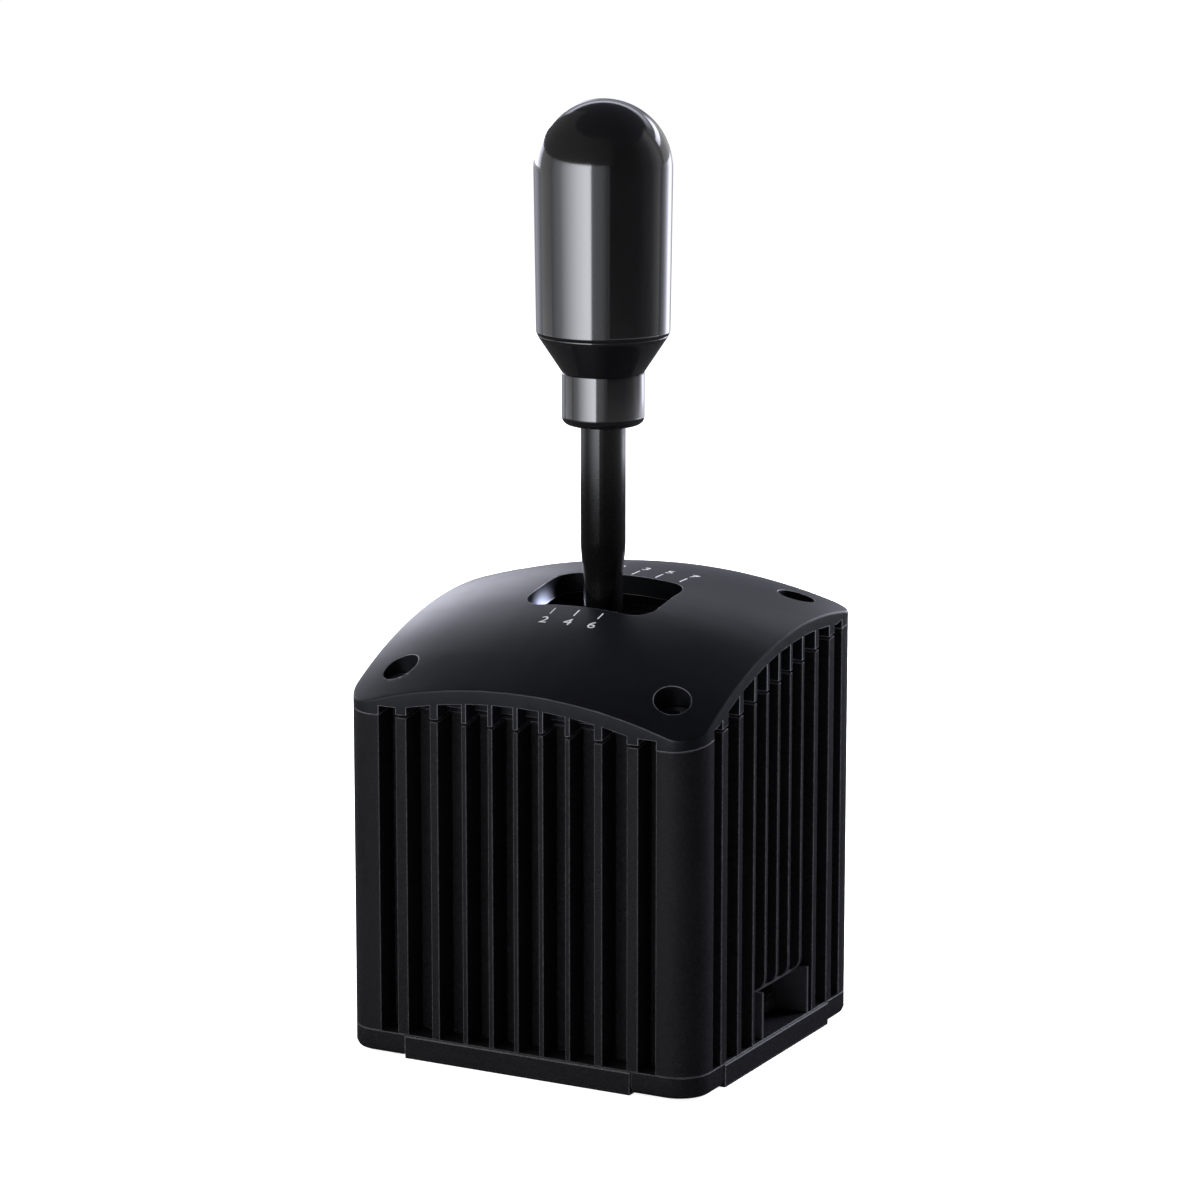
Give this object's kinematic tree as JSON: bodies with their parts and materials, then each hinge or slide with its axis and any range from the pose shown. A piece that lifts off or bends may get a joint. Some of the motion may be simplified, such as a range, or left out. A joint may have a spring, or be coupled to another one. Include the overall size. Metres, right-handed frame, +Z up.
{
  "type": "sim racing gear shifter",
  "caption": "H-pattern gear shifter for racing simulators: finned black casing, domed cover and a sprung lever with a capsule knob.",
  "frame": {"origin": "centre of the base's underside", "axes": "+Z up along the lever at rest; +Y away from the driver, towards the cover's high edge; +X to the driver's right, the side with the connector bay"},
  "size_m": [0.1126, 0.1044, 0.2694],
  "materials": {
    "casing_black": "matte black anodised",
    "cover_black": "satin black, fine grain",
    "base_plastic": "grained black",
    "screw_steel": "black oxide",
    "frame_alloy": "as machined",
    "bush_brass": "turned",
    "gate_steel": "ground",
    "spring_steel": "drawn wire",
    "standoff_brass": "turned",
    "board_green": "solder mask",
    "jack_steel": "plated",
    "jack_plastic": "moulded black",
    "bezel_plastic": "moulded dark grey",
    "cable_sheath": "soft sheath",
    "pin_steel": "ground",
    "magnet_nickel": "nickel plated",
    "shaft_black": "gloss black on steel",
    "knob_black": "polished black anodised"
  },
  "bodies": {
    "housing": {"casing": "casing_black", "top_cover": "cover_black", "cover_screws": "screw_steel", "base_plate": "base_plastic", "corner_blocks": "base_plastic", "block_screws": "screw_steel", "base_screws": "screw_steel", "frame_screws": "screw_steel", "mechanism_frame": "frame_alloy", "select_bushes": "bush_brass", "gate_plate": "gate_steel", "gate_screws": "screw_steel", "centring_spring": "spring_steel", "select_standoffs": "standoff_brass", "select_sensor_board": "board_green", "board_standoffs": "standoff_brass", "main_board": "board_green", "data_jack": "jack_steel", "phone_jack": "jack_plastic", "bay_bezel": "bezel_plastic", "select_sensor_cable": "cable_sheath", "shift_sensor_cable": "cable_sheath"},
    "yoke": {"yoke": "frame_alloy", "yoke_trunnions": "pin_steel", "axle_bushes": "bush_brass", "select_magnet": "magnet_nickel", "shift_standoffs": "standoff_brass", "shift_sensor_board": "board_green", "detent_bridge": "frame_alloy", "bridge_bolts": "screw_steel", "detent_plug": "pin_steel", "detent_spring": "spring_steel"},
    "lever": {"lever_hub": "pin_steel", "lever_axle": "pin_steel", "lever_shaft": "shaft_black", "lever_tail": "pin_steel", "detent_cam": "gate_steel", "knob_collar": "knob_black", "knob_grub_screw": "screw_steel", "knob_adapter": "knob_black", "knob_grip": "knob_black", "shift_magnet": "magnet_nickel"},
    "detent_pin": {"detent_pin": "pin_steel"}
  },
  "joints": [
    {"name": "select", "type": "hinge", "parent": "housing", "child": "yoke", "pos_m": [0, 0, 0.074], "axis": [0, 1, 0], "range_deg": [-14.2, 14.2], "stiffness_Nm_per_rad": 1.2, "deforming": ["centring_spring", "shift_sensor_cable"]},
    {"name": "shift", "type": "hinge", "parent": "yoke", "child": "lever", "pos_m": [0, 0, 0.074], "axis": [1, 0, 0], "range_deg": [-6, 6]},
    {"name": "detent", "type": "slide", "parent": "yoke", "child": "detent_pin", "axis": [0, 0, 1], "range_m": [0, 0.0006], "stiffness_N_per_m": 500, "deforming": ["detent_spring"]}
  ]
}
